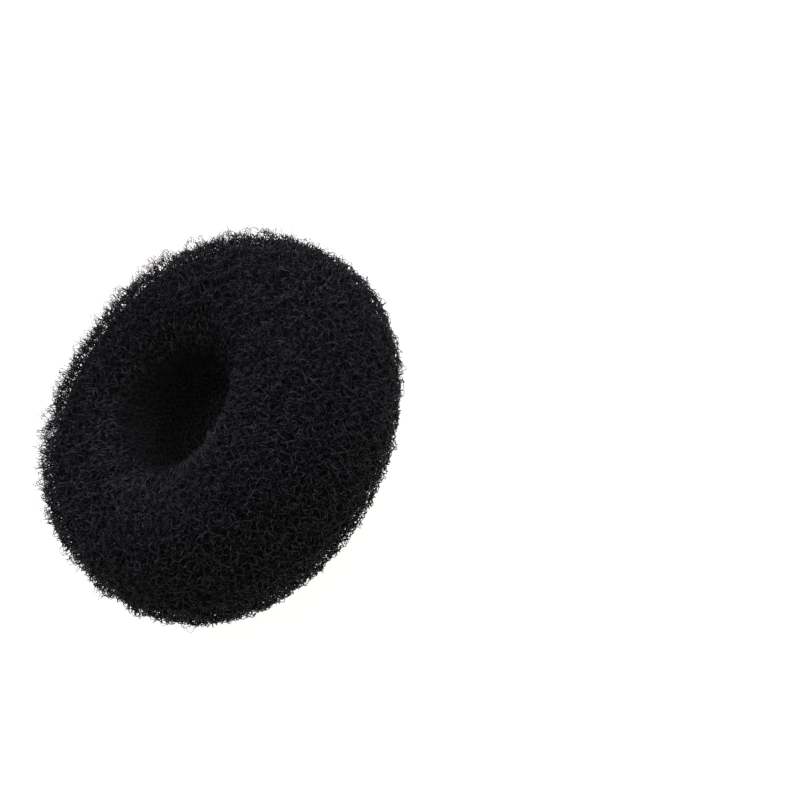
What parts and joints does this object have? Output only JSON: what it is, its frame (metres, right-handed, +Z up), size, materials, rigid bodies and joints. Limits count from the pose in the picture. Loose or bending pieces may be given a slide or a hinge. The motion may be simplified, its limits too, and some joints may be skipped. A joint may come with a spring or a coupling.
{
  "type": "hair bun ring",
  "caption": "Soft filled ring of crimped black nylon net rolled on itself, with a round hole that hair is drawn through to shape a bun.",
  "frame": {"origin": "on the surface that the ring lies on, under the middle of its outline", "axes": "+Z up through the hole, +X and +Y in the plane of the ring"},
  "size_m": [0.088, 0.0906, 0.0359],
  "materials": {
    "nylon_net": "crimped nylon monofilament net, black, open and springy, faint satin glint on each strand"
  },
  "bodies": {
    "root": {"net_roll": "nylon_net"}
  },
  "joints": []
}
